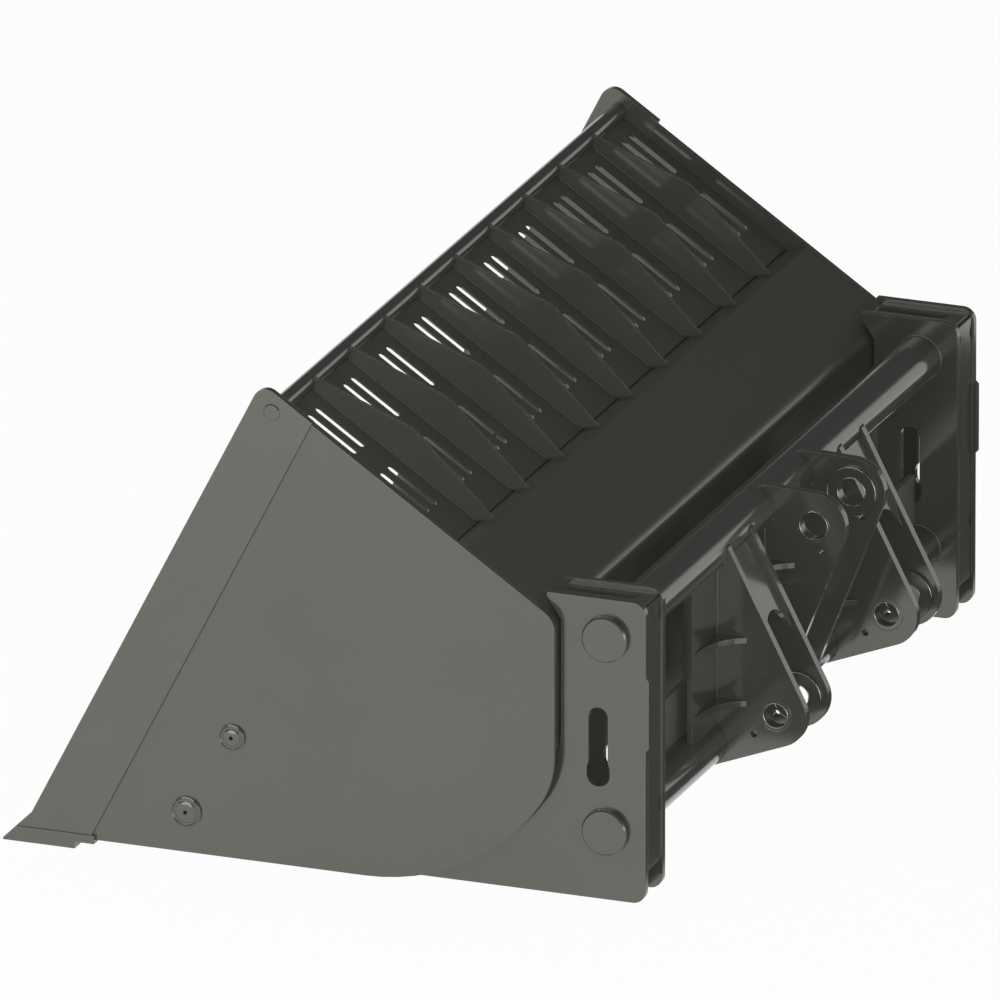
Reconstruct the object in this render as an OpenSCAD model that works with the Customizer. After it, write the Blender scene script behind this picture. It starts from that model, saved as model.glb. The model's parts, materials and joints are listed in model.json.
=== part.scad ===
// High dump bucket: a bowl that tips forward over front hinges, carried by a rear frame.
// The frame's two arms and the two tipping cylinders lie in side tunnels of the bowl.
// Left is +X, the mouth looks to -Y, the coupler ears look to +Y, and +Z is up.
// Places along Y are given from the axis of the cross tubes and moved to the part's centre.

/* [Bowl] */
// Width across the outer faces of the side plates
bowl_w = 2720; // [2400:10:3000]
// Thickness of a side plate
side_t = 12; // [8:1:20]
// Distance from the cross tube axis forward to the tip of the cutting edge
reach = 1776; // [1700:2:1900]
// Gap from the cross tube axis forward to the rear of the bowl
rear_gap = 138; // [132:1:150]
// Height of the bowl's underside
bottom_z = 29; // [26:1:34]
// Height of the corner between the rear and the sloped top edge
rear_top_z = 854; // [820:1:870]
// Slope of the top edge of a side plate, in degrees
top_deg = 33.9; // [31:0.1:36]
// Slope of the front edge of a side plate, in degrees
front_deg = 63.1; // [61:0.1:65]
// Height where the front edge meets the bevel of the cutting edge
front_foot_z = 91; // [80:1:100]
// Radius at the front peak of a side plate
peak_r = 40; // [20:1:60]
// Radius at the rear top corner
corner_r = 65; // [40:1:90]
// Radius of the lower, flatter part of the heel
heel_low_r = 630; // [600:5:660]
// Radius of the upper, tighter part of the heel
heel_high_r = 266.1; // [240:0.1:290]
// Height where the heel runs into the upright rear
heel_top_z = 450; // [440:1:460]
// Thickness of the bent sheet of the bowl
shell_t = 12; // [8:1:16]
// Step between the edge of a side plate and the bent sheet
shell_step = 2; // [1:0.5:4]

/* [Cutting edge] */
// Thickness of the cutting edge
edge_t = 44; // [38:1:50]
// Depth of the cutting edge from its tip to its rear
edge_depth = 272; // [240:2:300]
// Thickness of its lower layer
edge_low_t = 20; // [14:1:24]
// Depth of its lower layer
edge_low_depth = 214; // [180:2:230]
// Height of the blunt tip
edge_nose = 6; // [3:1:10]
// How far it stands out past each side plate
edge_lip = 12; // [6:1:20]
// Width of the side cutter strip along the front edge
cutter_w = 180; // [140:2:220]
// Thickness of the side cutter strip, from the inner face of the side plate
cutter_t = 20; // [14:1:24]
// Step of the side cutter's top above the side plate
cutter_step = 8; // [4:1:14]

/* [Spill guard] */
// Depth of the guard plate below the top edge of the side plates
guard_in = 50; // [44:1:56]
// Thickness of the guard plate
guard_t = 6; // [5:1:10]
// Distance along the slope from the rear corner to the lower edge of the guard
guard_start = 362; // [350:1:380]
// Number of ribs on the guard
rib_n = 9; // [5:2:13]
// Distance from a side plate to the outermost rib
rib_edge = 256; // [200:2:280]
// Thickness of a rib
rib_t = 8; // [6:1:12]
// Height of a rib's crest above the top edge of the side plates
rib_crest = 50; // [30:1:60]
// Radius at the crest of a rib
rib_crest_r = 50; // [20:5:260]
// Slots in each bay of one row
slot_n = 3; // [1:1:3]
// Pitch of the slots
slot_pitch = 58; // [40:1:64]
// Width of a slot
slot_w = 27; // [10:1:30]
// Distance from the guard's lower edge to the lower row of slots
slot_foot = 113; // [90:1:140]
// Distance between the two rows of slots
slot_space = 86; // [60:1:110]
// Distance from the upper row of slots to the tube along the top
slot_head = 71; // [50:1:90]
// Length of the flange that carries the guard's lower edge
guard_fold = 45; // [30:1:60]
// Depth of a rib's lower corner below the top edge of the side plates
rib_foot_in = 12; // [4:1:20]
// Depth of a rib's upper corner below the top edge of the side plates
rib_head_in = 18; // [10:1:24]
// Diameter of the tube along the top
rim_tube_d = 48; // [40:1:54]
// Distance of that tube along the slope from the front peak
rim_tube_back = 71.65; // [60:0.05:90]
// Depth of that tube's axis below the top edge
rim_tube_in = 44; // [40:1:48]

/* [Side tunnels] */
// Gap between a tunnel's inner wall and the arm inside it
tunnel_gap = 15; // [10:1:24]
// Thickness of the inner wall and the cover
tunnel_t = 12; // [8:1:14]
// Height of the tunnel's roof on its underside
tunnel_top_z = 470; // [460:1:500]
// Distance from the hinge forward to the front end of the roof
roof_ahead = 4; // [0:1:20]
// Distance from the hinge forward to the foot of the sloped front
foot_ahead = 170; // [160:1:190]

/* [Hinge] */
// Distance from the tip of the cutting edge back to the hinge
hinge_back = 544; // [530:1:560]
// Height of the hinge
hinge_z = 149; // [145:1:155]
// Diameter of the hinge pin
hinge_pin_d = 60; // [50:1:64]
// Diameter of the arm's rounded nose
nose_d = 190; // [170:2:200]
// Diameter of the cap over the hinge pin
hinge_cap_d = 90; // [80:1:100]
// Diameter of the bush in an arm
hinge_bush_d = 84; // [76:1:96]
// Radius of the grease channel in the pins' outer ends
grease_r = 6; // [4:0.5:8]
// Running clearance of pins and the piston, on the radius
run_fit = 0.05; // [0.02:0.01:0.09]
// Clearance of welded tubes and bushes in their holes, on the radius
weld_fit = 0.05; // [0.02:0.01:0.1]

/* [Tipping cylinder] */
// Distance from the hinge back to the rod pin
rod_back = 137; // [125:1:150]
// Height of the rod pin above the hinge
rod_up = 237; // [225:1:250]
// Distance from the cross tube axis forward to the base pin
base_pin_y = 400; // [390:1:420]
// Height of the base pin
base_pin_z = 190; // [180:1:196]
// Diameter of the rod pin and the base pin
cyl_pin_d = 50; // [40:1:54]
// Diameter of the cap over the rod pin
rod_cap_d = 78; // [70:1:86]
// Outer diameter of the barrel
barrel_d = 100; // [90:1:104]
// Bore of the barrel
bore_d = 80; // [70:1:84]
// Diameter of the rod
rod_d = 50; // [40:1:56]
// Length from the rod eye back to the gland
rod_show = 92; // [84:1:110]
// Diameter of the rod eye and the base eye
eye_d = 96; // [84:1:100]
// Width of the rod eye
eye_w = 70; // [50:1:76]

/* [Frame] */
// Gap between the frame's outer plate and the bowl's side plate
arm_gap = 29; // [20:1:40]
// Width of a side box over both of its plates
box_w = 154; // [148:1:160]
// Thickness of the frame's plates
plate_t = 20; // [16:1:22]
// Distance from the cross tube axis to the rear edge of the plates
box_rear = 117; // [105:1:130]
// Distance from the cross tube axis forward to the front edge of the box
box_front = 134; // [120:1:136]
// How far the box's top reaches past its front edge, over the bowl
horn_len = 42; // [30:1:46]
// Height of the frame's underside
frame_low_z = 36; // [33:1:40]
// Height of the box's top edge
box_top_z = 920; // [900:1:940]
// Radius at the box's rear corners
box_r = 38; // [20:1:50]
// Height of the arm's top edge near the base pin
arm_top_z = 250; // [246:1:270]
// Height where the box's front edge starts to sweep into the arm
sweep_z = 505; // [480:5:540]
// Length of that sweep along the arm
sweep_len = 104; // [80:2:130]
// Width of the keyhole slot
key_w = 57; // [40:1:64]
// Diameter of the keyhole's lower hole
key_d = 68; // [60:1:76]
// Height of the keyhole's lower hole
key_z = 400; // [380:1:410]
// Length between the keyhole's ends
key_len = 170; // [140:1:190]
// Distance from the cross tube axis forward to the keyhole
key_y = 24; // [0:1:30]
// How far the wide lower end of the keyhole reaches up
key_step = 16; // [4:1:30]
// How far the tab stands out at the rear edge of an outer plate
tab_out = 9; // [4:1:14]
// Height of the tab's lower end
tab_low_z = 486; // [460:1:510]
// Height of the tab's upper end
tab_high_z = 703; // [680:1:730]
// Thickness of the walls between a box's two plates
wall_t = 10; // [8:1:14]
// Thickness of the arm's floor
arm_floor_t = 12; // [8:1:16]
// Distance from the plates' rear edge to the rear end of that floor
floor_short = 47; // [44:1:60]
// Height of the lower edge of a box's rear wall
rear_wall_low_z = 125; // [100:1:140]
// Height of the lower edge of a box's front wall
front_wall_low_z = 440; // [430:1:460]
// Height of the upper edge of a box's front wall
front_wall_top_z = 820; // [800:1:840]
// Width of the hose slot in a box's top
hose_w = 36; // [30:1:44]
// Outer diameter of the cross tubes
tube_d = 133; // [120:1:140]
// Wall of the cross tubes
tube_wall = 12; // [8:1:20]
// Height of the upper cross tube
tube_high_z = 806; // [795:1:812]
// Height of the lower cross tube
tube_low_z = 238; // [230:1:245]
// Height of the shield plates' top edge
shield_top_z = 455; // [430:1:480]
// Thickness of the shield plates
shield_t = 16; // [10:1:20]
// Distance from the cross tube axis forward to the rear face of the shield plates
shield_y = 10; // [4:1:20]
// Thickness of the tube end caps
cap_t = 22; // [10:1:26]

/* [Coupler ears] */
// Distance from the cross tube axis back to the hook pin bores
hook_y = 211; // [200:1:220]
// Height of the hook pin bores
hook_z = 342; // [335:1:350]
// Diameter of a hook pin bore
hook_bore = 70; // [60:1:80]
// Outer radius of a hook ear round its bore
hook_r = 92; // [88:1:98]
// Distance from the middle to the outer face of the outer hook ear
hook_out = 545; // [530:1:560]
// Free width between the two plates of a hook
hook_gap = 152; // [140:1:170]
// Thickness of the ear plates
ear_t = 25; // [20:1:30]
// Distance from the cross tube axis back to the tilt pin bore
tilt_y = 182; // [175:1:190]
// Height of the tilt pin bore
tilt_z = 773; // [765:1:780]
// Diameter of the tilt pin bore
tilt_bore = 80; // [70:1:88]
// Outer radius of a tilt ear round its bore
tilt_r = 97; // [92:1:104]
// Distance from the middle to the outer face of a tilt ear
tilt_out = 168; // [150:1:190]
// Outer diameter of the thrust rings on the inner faces
thrust_d = 146; // [130:1:160]
// Thickness of the thrust rings
thrust_t = 10; // [6:1:14]
// Diameter of the bushes in the ears
ear_bush_d = 96; // [92:1:104]
// Width of a gusset plate beside an outer hook ear
gusset_w = 196; // [180:1:210]
// Thickness of a gusset plate
gusset_t = 15; // [10:1:20]
// Distance from the cross tube axis back to a gusset plate
gusset_y = 22; // [10:1:30]
// Length of a level rib along the gusset
ear_rib_len = 173; // [140:1:180]
// Height that a level rib stands off the gusset at the ear
ear_rib_out = 90; // [70:1:100]
// Thickness of a level rib
ear_rib_t = 17; // [12:1:20]
// Height of the lower level rib
ear_rib_low_z = 358; // [340:1:370]
// Height of the upper level rib
ear_rib_high_z = 545; // [530:1:560]
// Distance from the ear to the bend in a level rib's free edge
ear_rib_waist = 40; // [30:1:60]
// Height of a level rib's far end off the gusset
ear_rib_toe = 3; // [1:0.5:8]
// Height of the level rib beside a tilt ear
tilt_rib_z = 640; // [620:1:660]
// Thickness of the web between the two plates of a hook
web_t = 15; // [10:1:20]
// Width of the web left beside its arch
web_leg = 3; // [2:1:20]
// Distance along the slope from the upper tube's height down to the arch
web_arch = 246; // [220:1:270]

/* [Hidden] */
$fn = 72;

steel = [0.42, 0.415, 0.40];
dark_steel = [0.30, 0.30, 0.28];
pin_steel = [0.55, 0.55, 0.53];

// Directions and corner points of the bowl's side view, as [Y, Z]
up_slope = [-cos(top_deg), sin(top_deg)];
out_slope = [sin(top_deg), cos(top_deg)];
up_front = [cos(front_deg), sin(front_deg)];
rear_corner = [-rear_gap, rear_top_z];
edge_tip = [-reach, 0];
bevel_end = [-reach + front_foot_z - edge_nose, front_foot_z];
edge_back = -reach + edge_depth;
hinge_y = reach - hinge_back;
bowl_half = bowl_w / 2;
side_in = bowl_half - side_t;
plate_out = side_in - arm_gap;
plate_in = plate_out - box_w;
tunnel_in = plate_in - tunnel_gap;
tunnel_w = side_in - tunnel_in;
roof_front = hinge_y + roof_ahead;
tunnel_foot = hinge_y + foot_ahead;
hinge = [-hinge_y, hinge_z];
rod_pin = hinge + [rod_back, rod_up];
base_pin = [-base_pin_y, base_pin_z];
hook_pin = [hook_y, hook_z];
tilt_pin = [tilt_y, tilt_z];
tube_high = [0, tube_high_z];
tube_low = [0, tube_low_z];
tube_r = tube_d / 2;
mid_y = (hook_y + hook_r - reach) / 2;
arc_steps = 12;

// The heel: a large radius from the bottom meets a smaller one that ends at the upright rear
heel_rise = bottom_z + heel_low_r - heel_top_z;
heel_start = rear_gap + heel_high_r + sqrt(pow(heel_low_r - heel_high_r, 2) - pow(heel_rise, 2));
low_c = [-heel_start, bottom_z + heel_low_r];
high_c = [-rear_gap - heel_high_r, heel_top_z];
heel_deg = atan2(high_c[1] - low_c[1], high_c[0] - low_c[0]);

// Middle of a side box, and half the space between its plates
box_mid = plate_out - box_w / 2;
box_in_half = box_w / 2 - plate_t;
hook_in = hook_out - 2 * ear_t - hook_gap;

function unit(v) = v / norm(v);
function arc(c, r, a0, a1, n = arc_steps) =
    [for (i = [0:n]) c + r * [cos(a0 + (a1 - a0) * i / n), sin(a0 + (a1 - a0) * i / n)]];
function reversed(p) = [for (i = [len(p) - 1:-1:0]) p[i]];
// Where the line through p along u meets the line through q along v
function meet(p, u, q, v) =
    p + u * ((q[0] - p[0]) * v[1] - (q[1] - p[1]) * v[0]) / (u[0] * v[1] - u[1] * v[0]);
// Corner v between p and q, rounded to radius r
function corner(p, v, q, r) =
    let (a = unit(p - v), b = unit(q - v), half = acos(a * b) / 2,
        c = v + unit(a + b) * r / sin(half), s = v + a * r / tan(half), e = v + b * r / tan(half),
        a0 = atan2(s[1] - c[1], s[0] - c[0]), turn = atan2(e[1] - c[1], e[0] - c[0]) - a0,
        sweep = turn > 180 ? turn - 360 : turn < -180 ? turn + 360 : turn)
    r > 0 ? arc(c, r, a0, a0 + sweep, 8) : [v];
// Closed outline through points given as [Y, Z, radius]
function rounded(p) =
    [for (i = [0:len(p) - 1])
        let (n = len(p), a = p[(i + n - 1) % n], v = p[i], b = p[(i + 1) % n])
        each corner([a[0], a[1]], [v[0], v[1]], [b[0], b[1]], v[2])];
// Belt round circles given as [centre, radius], counter-clockwise
function belt_deg(a, b) =
    let (d = b[0] - a[0]) atan2(d[1], d[0]) - acos((a[1] - b[1]) / norm(d));
function belt(c) =
    [for (i = [0:len(c) - 1])
        let (n = len(c), a0 = belt_deg(c[(i + n - 1) % n], c[i]), a1 = belt_deg(c[i], c[(i + 1) % n]))
        each arc(c[i][0], c[i][1], a0, a0 + (a1 - a0 + 720) % 360)];
// Smooth bend from a to c that leans towards b
function bend(a, b, c) = [for (t = [0:0.1:1.01]) pow(1 - t, 2) * a + 2 * t * (1 - t) * b + t * t * c];
// Point at a distance along the slope from the rear corner, and above the top edge
function slope_pt(s, h) = rear_corner + s * up_slope + h * out_slope;

peak = meet(bevel_end, up_front, rear_corner, up_slope);
rim_tube_s = norm(peak - rear_corner) - rim_tube_back;
rib_pitch = 2 * (side_in - rib_edge) / (rib_n - 1);
slot_len = (rim_tube_s - guard_start - slot_foot - slot_space - slot_head) / 2;
slot_low = guard_start + slot_foot;
slot_high = slot_low + slot_len + slot_space;
cutter_line = bevel_end + cutter_w * [sin(front_deg), -cos(front_deg)];
cutter_low = meet(cutter_line, up_front, [0, edge_t], [1, 0]);
cutter_top = meet(cutter_line, up_front, rear_corner, up_slope);

// Puts what is drawn from the cross tube axis at the part's centre
module seat() translate([0, -mid_y, 0]) children();
module side(s) {
    if (s > 0) seat() children();
    else seat() mirror([1, 0, 0]) children();
}
// Flat piece in the side view, from x to x + t
module plate(x, t) translate([x, 0, 0]) rotate([90, 0, 90]) linear_extrude(t) children();
// Round bar along X from x0 to x1 at a point of the side view
module bar(p, x0, x1, r) translate([x0, p[0], p[1]]) rotate([0, 90, 0]) cylinder(h = x1 - x0, r = r);
module ring(p, x0, x1, r_out, r_in) plate(x0, x1 - x0) at(p) difference() {
    circle(r_out);
    circle(r_in);
}
module at(p) translate(p) children();

// Outer line of the bowl from its front floor over the heel to the rear corner, set in by d
function bowl_line(d) = concat(
    [[edge_back, bottom_z + d]],
    arc(low_c, heel_low_r - d, -90, heel_deg),
    arc(high_c, heel_high_r - d, heel_deg, 0),
    corner([-rear_gap - d, 0], meet([-rear_gap - d, 0], [0, 1], rear_corner - d * out_slope, up_slope),
        slope_pt(guard_start, -d), corner_r - d));

module side_plate(s) color(steel) side(s) plate(side_in, side_t) difference() {
    polygon(concat(bowl_line(0), [cutter_top, cutter_low, [edge_back, edge_t]]));
    at(hinge) circle(hinge_pin_d / 2 + weld_fit);
    at(rod_pin) circle(cyl_pin_d / 2 + weld_fit);
}

module side_cutter(s) color(steel) side(s) plate(side_in, cutter_t) difference() {
    polygon(concat(
        [cutter_low, cutter_top, cutter_top + cutter_step * unit(up_front)],
        corner(cutter_top + cutter_step * up_front, peak + cutter_step * up_front, bevel_end, peak_r),
        [bevel_end, [bevel_end[0] - front_foot_z + edge_t, edge_t]]));
    at(slope_pt(rim_tube_s, -rim_tube_in)) circle(rim_tube_d / 2 + weld_fit);
}

module cutting_edge() color(steel) seat() plate(-bowl_half - edge_lip, bowl_w + 2 * edge_lip)
    polygon([edge_tip, [-reach, edge_nose], [-reach + edge_t - edge_nose, edge_t], [edge_back, edge_t],
        [edge_back, edge_low_t], [-reach + edge_low_depth, edge_low_t], [-reach + edge_low_depth, 0]]);

module bowl_shell() color(dark_steel) seat() difference() {
    plate(-side_in, 2 * side_in) polygon(concat(
        bowl_line(shell_step),
        [slope_pt(guard_start - guard_fold, -shell_step), slope_pt(guard_start, -guard_in - guard_t)],
        [slope_pt(guard_start - shell_t, -guard_in - guard_t),
            slope_pt(guard_start - guard_fold - shell_t, -shell_step - shell_t)],
        reversed(bowl_line(shell_step + shell_t))));
    for (m = [0, 1]) mirror([m, 0, 0]) plate(tunnel_in, tunnel_w + side_t)
        polygon([[-tunnel_foot, 0], [-tunnel_foot, bottom_z + shell_step + shell_t], [-roof_front, tunnel_top_z],
            [0, tunnel_top_z], [0, 0]]);
}

// Side view of the space under the tunnel's roof, grown outwards by g
module tunnel_view(g) polygon([[-tunnel_foot - g * 1.08, bottom_z], [-tunnel_foot - g * 1.08, bottom_z + shell_step + shell_t],
    [-roof_front - g * 0.7, tunnel_top_z + g], [0, tunnel_top_z + g], [0, bottom_z]]);
module bowl_inside() polygon(concat(bowl_line(shell_step + shell_t), [peak]));

module tunnel_wall(s) color(dark_steel) side(s) plate(tunnel_in - tunnel_t, tunnel_t) difference() {
    intersection() {
        tunnel_view(0);
        bowl_inside();
    }
    at(hinge) circle(hinge_pin_d / 2 + weld_fit);
    at(rod_pin) circle(cyl_pin_d / 2 + weld_fit);
}

module tunnel_cover(s) color(dark_steel) side(s) plate(tunnel_in - tunnel_t, tunnel_w + tunnel_t)
    intersection() {
        difference() {
            tunnel_view(tunnel_t);
            tunnel_view(0);
        }
        bowl_inside();
    }

module spill_guard() color(dark_steel) seat() difference() {
    plate(-side_in, 2 * side_in) polygon([slope_pt(guard_start, -guard_in - guard_t),
        slope_pt(guard_start, -guard_in), slope_pt(rim_tube_s, -guard_in), slope_pt(rim_tube_s, -guard_in - guard_t)]);
    bar(slope_pt(rim_tube_s, -rim_tube_in), -bowl_half, bowl_half, rim_tube_d / 2);
    for (row = [slot_low, slot_high], bay = [0:rib_n], i = [0:slot_n - 1])
        guard_slot((bay - rib_n / 2) * rib_pitch + (i - (slot_n - 1) / 2) * slot_pitch, row);
}
// One long hole with round ends through the guard plate
module guard_slot(x, s) {
    low = slope_pt(s + slot_w / 2, -guard_in - guard_t / 2);
    translate([x, low[0], low[1]]) rotate([180 - top_deg, 0, 0]) {
        for (e = [0, slot_len - slot_w]) translate([0, e, 0]) cylinder(h = 3 * guard_t, d = slot_w, center = true);
        translate([-slot_w / 2, 0, -1.5 * guard_t]) cube([slot_w, slot_len - slot_w, 3 * guard_t]);
    }
}

module guard_ribs() color(dark_steel) seat() for (i = [0:rib_n - 1])
    plate((i - (rib_n - 1) / 2) * rib_pitch - rib_t / 2, rib_t) difference() {
        polygon(rounded([for (p = [[rim_tube_s - 8, -guard_in, 0], [rim_tube_s - 8, -rib_head_in, 0],
            [(guard_start + rim_tube_s) / 2 - 5, rib_crest, rib_crest_r],
            [guard_start - guard_fold + 14, -rib_foot_in, 0], [guard_start + 2, -guard_in, 0]]) let (q = slope_pt(p[0], p[1])) [q[0], q[1], p[2]]]));
        at(slope_pt(rim_tube_s, -rim_tube_in)) circle(rim_tube_d / 2 + weld_fit);
    }

module rim_tube() color(steel) seat() difference() {
    rim = slope_pt(rim_tube_s, -rim_tube_in);
    rim_end = bowl_half + edge_lip - 3;
    union() {
        bar(rim, -rim_end, rim_end, rim_tube_d / 2);
        for (m = [0, 1]) mirror([m, 0, 0]) translate([rim_end, rim[0], rim[1]]) rotate([0, 90, 0])
            cylinder(h = 3, r1 = rim_tube_d / 2, r2 = rim_tube_d / 2 - 3);
    }
    bar(rim, -side_in, side_in, rim_tube_d / 2 - 5);
}

module hinge_pin(s) color(pin_steel) side(s) difference() {
    bar(hinge, tunnel_in - tunnel_t, bowl_half, hinge_pin_d / 2);
    bar(hinge, bowl_half - 35, bowl_half + 1, grease_r);
}

// Spacer rings between the bowl's walls and the arm, one pair on each side
module hinge_collars() color(pin_steel) for (s = [1, -1]) side(s) {
    ring(hinge, plate_out + 0.3, side_in, hinge_bush_d / 2 + 10, hinge_pin_d / 2 + weld_fit);
    ring(hinge, tunnel_in, plate_in - 0.3, hinge_bush_d / 2 + 10, hinge_pin_d / 2 + weld_fit);
}

// Bosses that hold the rod pin's ends in the side plate and the tunnel's wall
module rod_pin_bosses() color(pin_steel) for (s = [1, -1]) side(s) {
    difference() {
        union() {
            bar(rod_pin, plate_out - plate_t, side_in, rod_cap_d / 2 + 6);
            bar(rod_pin, side_in, bowl_half, cyl_pin_d / 2);
        }
        bar(rod_pin, bowl_half - 35, bowl_half + 1, grease_r);
    }
    bar(rod_pin, tunnel_in, plate_in + plate_t, rod_cap_d / 2 + 6);
    bar(rod_pin, tunnel_in - tunnel_t, tunnel_in, cyl_pin_d / 2);
}

// Domed cap with a rim ring and a grease hole
module pin_cap(p, d) translate([bowl_half, p[0], p[1]]) rotate([90, 0, 90]) rotate_extrude()
    polygon(concat([[grease_r, 0], [d / 2, 0], [d / 2, 7], [d / 2 - 4, 9], [d / 2 - 7, 5], [d / 2 - 11, 5]],
        [for (a = [0:15:75]) [grease_r + (d / 2 - 13 - grease_r) * cos(a), 5 + 6 * sin(a)]], [[grease_r, 11]]));
module pin_caps() color(pin_steel) for (s = [1, -1]) side(s) {
    pin_cap(hinge, hinge_cap_d);
    pin_cap(rod_pin, rod_cap_d);
}

// Side view of a frame plate: the upright box and the arm that reaches the hinge
module frame_view(tab) {
    nose_r = nose_d / 2;
    clear_r = norm([hinge_y - rear_gap - corner_r, rear_top_z - 35 - hinge_z]) + corner_r + 7;
    top_deg_at = acos((hinge_y - box_front - horn_len) / clear_r);
    low_deg_at = acos((hinge_y - box_front) / clear_r);
    difference() {
        union() {
            polygon(concat(
                corner([hinge[0], frame_low_z], [box_rear, frame_low_z], [box_rear, box_top_z], box_r),
                tab ? [[box_rear, tab_low_z], [box_rear + tab_out, tab_low_z + tab_out],
                    [box_rear + tab_out, tab_high_z - tab_out], [box_rear, tab_high_z]] : [],
                corner([box_rear, frame_low_z], [box_rear, box_top_z], [hinge[0], box_top_z], box_r),
                [[-box_front - horn_len, box_top_z]], arc(hinge, clear_r, top_deg_at, low_deg_at),
                bend([-box_front, sweep_z], [-box_front - 8, arm_top_z + 78], [-box_front - sweep_len, arm_top_z]),
                [[base_pin[0], arm_top_z],
                    hinge + nose_r * [sin(1), cos(1)], hinge, hinge + nose_r * [sin(12), -cos(12)],
                    [hinge[0] + 180, frame_low_z]]));
            at(hinge) circle(nose_r);
            at(base_pin) circle(arm_top_z - base_pin_z + 4);
        }
        at(tube_high) circle(tube_r + weld_fit);
        at(tube_low) circle(tube_r + weld_fit);
        at(hinge) circle(hinge_bush_d / 2 + weld_fit);
        at(base_pin) circle(cyl_pin_d / 2 + weld_fit);
        for (z = [key_z, key_z + key_step]) at([-key_y, z]) circle(key_d / 2);
        at([-key_y - key_d / 2, key_z]) square([key_d, key_step]);
        at([-key_y, key_z + key_len]) circle(key_w / 2);
        at([-key_y - key_w / 2, key_z]) square([key_w, key_len]);
    }
}
module frame_plate_outer(s) color(steel) side(s) plate(plate_out - plate_t, plate_t) frame_view(true);
module frame_plate_inner(s) color(steel) side(s) plate(plate_in, plate_t) frame_view(false);

// Cross pieces between the two plates of a side box
module arm_floor(s) color(steel) side(s) translate([box_mid - box_in_half, hinge[0] + 200, frame_low_z])
    cube([2 * box_in_half, box_rear - floor_short - 200 - hinge[0], arm_floor_t]);

module box_rear_wall(s) color(steel) side(s) difference() {
    translate([box_mid - box_in_half, box_rear - 5 - wall_t, rear_wall_low_z])
        cube([2 * box_in_half, wall_t, box_top_z - 10 - wall_t - rear_wall_low_z]);
    for (z = [tube_low_z + 55, tube_high_z + 52], x = [-1, 1])
        translate([box_mid + x * box_in_half, box_rear - 30, z]) rotate([-90, 0, 0]) cylinder(h = 30, r = 22);
}

module box_front_wall(s) color(steel) side(s)
    translate([box_mid - box_in_half, -box_front, front_wall_low_z])
        cube([2 * box_in_half, wall_t, front_wall_top_z - front_wall_low_z]);

module box_top_cap(s) color(steel) side(s) difference() {
    translate([box_mid - box_in_half, -box_front - 20, box_top_z - 10 - wall_t])
        cube([2 * box_in_half, box_front + box_rear + 7, wall_t]);
    for (y = [6 - box_front, box_rear - 75]) translate([box_mid, y, box_top_z - 30]) cylinder(h = 40, d = hose_w);
    translate([box_mid - hose_w / 2, 6 - box_front, box_top_z - 30])
        cube([hose_w, box_front + box_rear - 81, 40]);
}

module hinge_bushes() color(pin_steel) for (s = [1, -1], x = [plate_in, plate_out - plate_t]) side(s)
    ring(hinge, x, x + plate_t, hinge_bush_d / 2, hinge_pin_d / 2 + run_fit);

module base_pins() color(pin_steel) for (s = [1, -1]) side(s) bar(base_pin, plate_in, plate_out, cyl_pin_d / 2);

module cross_tube(p) color(steel) seat() difference() {
    bar(p, -plate_out, plate_out, tube_r);
    bar(p, -plate_out - 1, plate_out + 1, tube_r - tube_wall);
}
module cross_tube_upper() cross_tube(tube_high);
module cross_tube_lower() cross_tube(tube_low);

module tube_end_caps() color(steel) for (s = [1, -1], p = [tube_high, tube_low]) side(s)
    translate([plate_out, p[0], p[1]]) rotate([0, 90, 0]) {
        cylinder(h = cap_t - 5, r = tube_r);
        translate([0, 0, cap_t - 5]) cylinder(h = 5, r1 = tube_r, r2 = tube_r - 5);
    }

// Hook ear: a triangular plate from both tubes to the hook pin
module hook_ear(s, x) color(steel) side(s) plate(x, ear_t) difference() {
    polygon(belt([[tube_low, tube_r + 5], [hook_pin, hook_r], [tube_high + [59, 6], 12], [tube_high, tube_r - 8]]));
    at(tube_high) circle(tube_r + weld_fit);
    at(tube_low) circle(tube_r + weld_fit);
    at(hook_pin) circle(ear_bush_d / 2 + weld_fit);
    at(hook_pin + [-64, -62]) circle(10);
}
// Tilt ear: stands behind the upper tube, leans on its top and holds the tilt pin
module tilt_ear(s) color(steel) side(s) plate(tilt_out - ear_t, ear_t) difference() {
    polygon(belt([[tube_low, tube_r + 5], [tilt_pin, tilt_r], [tube_high + [32, 58], 12], [tube_high, tube_r - 8]]));
    at(tube_high) circle(tube_r + weld_fit);
    at(tube_low) circle(tube_r + weld_fit);
    at(tilt_pin) circle(ear_bush_d / 2 + weld_fit);
    at(tilt_pin + [29, -74]) circle(10);
}
// Bush through an ear, with a wide thrust ring on the side that meets the coupler
module ear_bush(p, x, inner, bore) {
    ring(p, x, x + ear_t, ear_bush_d / 2, bore / 2);
    ring(p, inner ? x - thrust_t : x + ear_t, inner ? x : x + ear_t + thrust_t, thrust_d / 2, bore / 2);
}
module hook_bushes() color(pin_steel) for (s = [1, -1]) side(s) {
    ear_bush(hook_pin, hook_out - ear_t, true, hook_bore);
    ear_bush(hook_pin, hook_in, false, hook_bore);
}
module tilt_bushes() color(pin_steel) for (s = [1, -1]) side(s)
    ear_bush(tilt_pin, tilt_out - ear_t, true, tilt_bore);

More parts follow.
